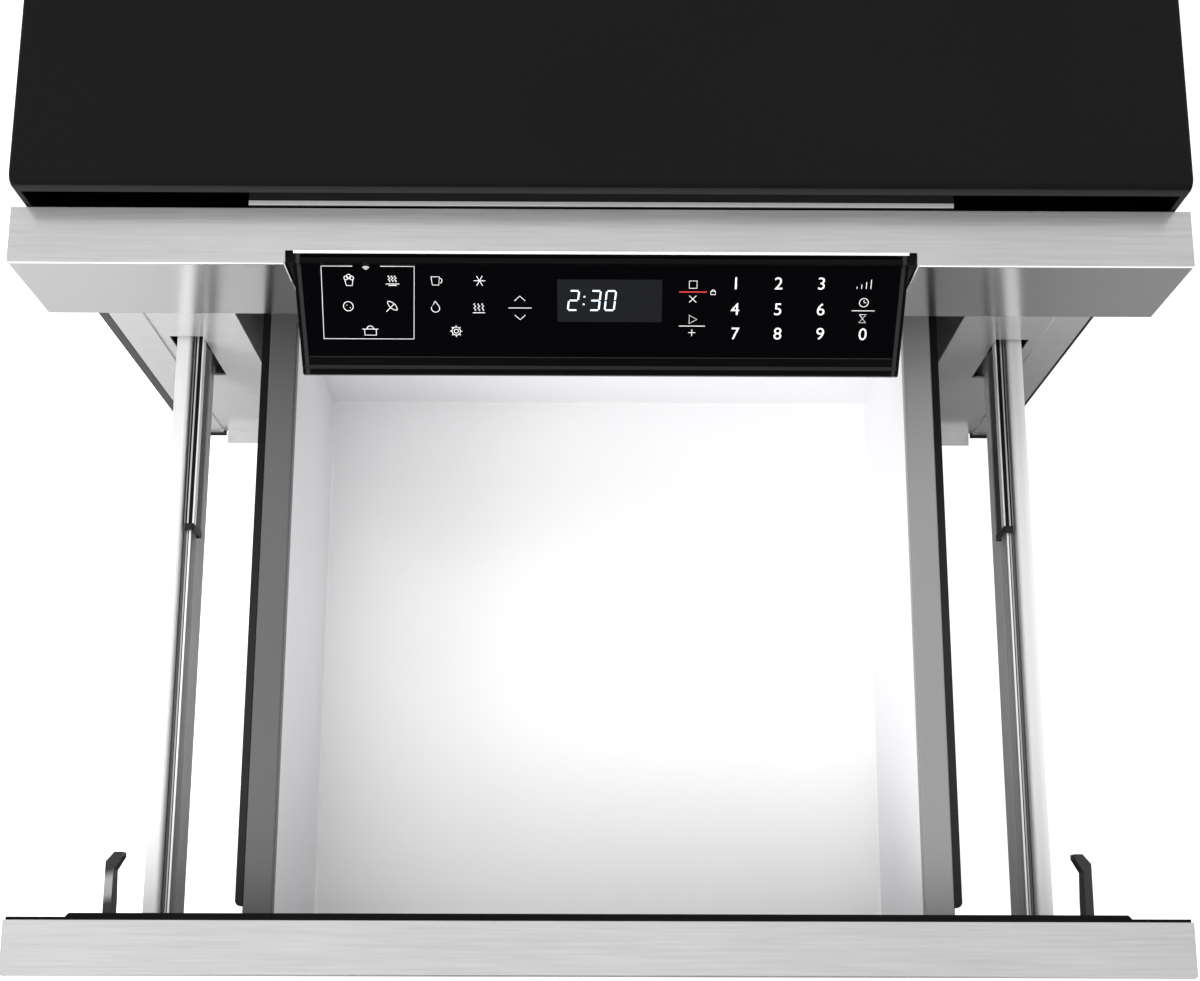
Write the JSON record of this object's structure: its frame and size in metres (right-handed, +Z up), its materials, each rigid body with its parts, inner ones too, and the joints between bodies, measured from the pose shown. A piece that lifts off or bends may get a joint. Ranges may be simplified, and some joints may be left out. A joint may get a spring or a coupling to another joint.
{
  "type": "microwave drawer",
  "caption": "Built-in drawer-style microwave oven: stainless front, sloping glass touch console, and a motor-driven oven drawer on telescopic ball slides, stored with the drawer run out.",
  "frame": {"origin": "underside of the base pan, in the middle of its width, at the front of the face plate that closes the cabinet opening", "axes": "+X to the right seen from the front, +Y into the cabinet, +Z up; the drawer runs out along -Y"},
  "size_m": [0.76, 1.093, 0.496],
  "materials": {
    "stainless_front": "horizontal brushed grain",
    "black_case": "satin black paint",
    "galvanised_sheet": "plain galvanised sheet",
    "dark_sheet": "dark grey paint",
    "oven_lining": "bright oven lining",
    "white_enamel": "gloss white enamel",
    "rim_paint": "satin grey",
    "black_moulding": "fine satin black",
    "seal_rubber": "smooth black",
    "console_glass": "gloss black back-painted glass",
    "display_window": "dark grey clock window",
    "circuit_board": "solder mask",
    "rail_steel": "bright plated steel",
    "slide_chrome": "bright plated steel",
    "bright_steel": "turned steel",
    "white_acetal": "moulded bearing plastic",
    "bronze_bush": "sintered bronze",
    "floor_ceramic": "white glass ceramic",
    "stirrer_cover": "light board",
    "fin_aluminium": "pressed aluminium",
    "core_iron": "varnished laminations",
    "coil_copper": "enamelled winding",
    "can_aluminium": "drawn can",
    "fan_plastic": "moulded black",
    "motor_steel": "zinc plated can"
  },
  "bodies": {
    "chassis": {"base_pan": "galvanised_sheet", "face_plate": "galvanised_sheet", "side_flanges": "galvanised_sheet", "outer_case": "black_case", "front_vent_panel": "dark_sheet", "rear_cover": "galvanised_sheet", "oven_cavity": "oven_lining", "stirrer_cover": "stirrer_cover", "stirrer_motor": "motor_steel", "waveguide": "galvanised_sheet", "magnetron": "fin_aluminium", "transformer_core": "core_iron", "transformer_coil": "coil_copper", "capacitor": "can_aluminium", "fan_housing": "fan_plastic", "fan_motor": "motor_steel", "power_inlet": "black_moulding", "oven_lamp": "white_acetal", "control_housing": "stainless_front", "control_bezel": "black_moulding", "control_glass": "console_glass", "display_module": "display_window", "control_board": "circuit_board", "slide_brackets": "galvanised_sheet", "slide_outer_right": "slide_chrome", "slide_outer_left": "slide_chrome", "shaft_bushes": "bronze_bush", "drive_motor": "motor_steel", "motor_bracket": "galvanised_sheet", "latch_housing_right": "fan_plastic", "latch_housing_left": "fan_plastic", "chassis_screws": "bright_steel"},
    "drawer": {"drawer_front": "stainless_front", "door_frame": "galvanised_sheet", "door_trim": "black_moulding", "choke_cover": "black_moulding", "drawer_tub": "white_enamel", "tub_rim": "rim_paint", "seal_strips": "seal_rubber", "floor_tray": "floor_ceramic", "side_rail_right": "rail_steel", "side_rail_left": "rail_steel", "slide_inner_right": "slide_chrome", "slide_inner_left": "slide_chrome", "drive_rack_right": "white_acetal", "drive_rack_left": "white_acetal", "latch_hooks": "black_moulding", "drawer_screws": "bright_steel"},
    "middle_slides": {"slide_middle_right": "slide_chrome", "slide_middle_left": "slide_chrome"},
    "rear_ball_cages": {"outer_cages": "bright_steel"},
    "front_ball_cages": {"inner_cages": "bright_steel"},
    "cross_shaft": {"drive_shaft": "bright_steel", "shaft_pinions": "white_acetal", "shaft_gear": "white_acetal"},
    "motor_gear": {"motor_pinion": "bright_steel"},
    "cooling_fan": {"fan_blade": "fan_plastic"},
    "stirrer": {"stirrer_fan": "fin_aluminium"},
    "right_latch": {"latch_lever_right": "white_acetal"},
    "left_latch": {"latch_lever_left": "white_acetal"}
  },
  "joints": [
    {"name": "drawer_slide", "type": "slide", "parent": "chassis", "child": "drawer", "axis": [0, 1, 0], "range_m": [0, 0.444]},
    {"name": "middle_slides_run", "type": "slide", "parent": "chassis", "child": "middle_slides", "axis": [0, 1, 0], "range_m": [0, 0.222]},
    {"name": "rear_cages_run", "type": "slide", "parent": "chassis", "child": "rear_ball_cages", "axis": [0, 1, 0], "range_m": [0, 0.111]},
    {"name": "front_cages_run", "type": "slide", "parent": "chassis", "child": "front_ball_cages", "axis": [0, 1, 0], "range_m": [0, 0.333]},
    {"name": "cross_shaft_spin", "type": "hinge", "parent": "chassis", "child": "cross_shaft", "pos_m": [0, 0.032, 0.1337], "axis": [-1, 0, 0], "range_deg": [0, 1018]},
    {"name": "motor_gear_spin", "type": "hinge", "parent": "chassis", "child": "motor_gear", "pos_m": [0.2945, 0.05373, 0.105], "axis": [-1, 0, 0], "range_deg": [-2036, 0]},
    {"name": "cooling_fan_spin", "type": "hinge", "parent": "chassis", "child": "cooling_fan", "pos_m": [-0.25, 0.582, 0.252], "axis": [0, 1, 0], "continuous": true},
    {"name": "stirrer_spin", "type": "hinge", "parent": "chassis", "child": "stirrer", "pos_m": [0, 0.24, 0.372], "axis": [0, 0, 1], "continuous": true},
    {"name": "right_latch_rock", "type": "hinge", "parent": "chassis", "child": "right_latch", "pos_m": [0.3288, 0.0535, 0.301], "axis": [1, 0, 0], "range_deg": [0, 4], "stiffness_Nm_per_rad": 0.02},
    {"name": "left_latch_rock", "type": "hinge", "parent": "chassis", "child": "left_latch", "pos_m": [-0.3288, 0.0535, 0.301], "axis": [1, 0, 0], "range_deg": [0, 4], "stiffness_Nm_per_rad": 0.02}
  ],
  "couplings": [
    {"joint": "middle_slides_run", "follows": "drawer_slide", "ratio": 0.5},
    {"joint": "rear_cages_run", "follows": "drawer_slide", "ratio": 0.25},
    {"joint": "front_cages_run", "follows": "drawer_slide", "ratio": 0.75},
    {"joint": "cross_shaft_spin", "follows": "drawer_slide", "rad_per_m": 40},
    {"joint": "motor_gear_spin", "follows": "drawer_slide", "rad_per_m": -80}
  ]
}
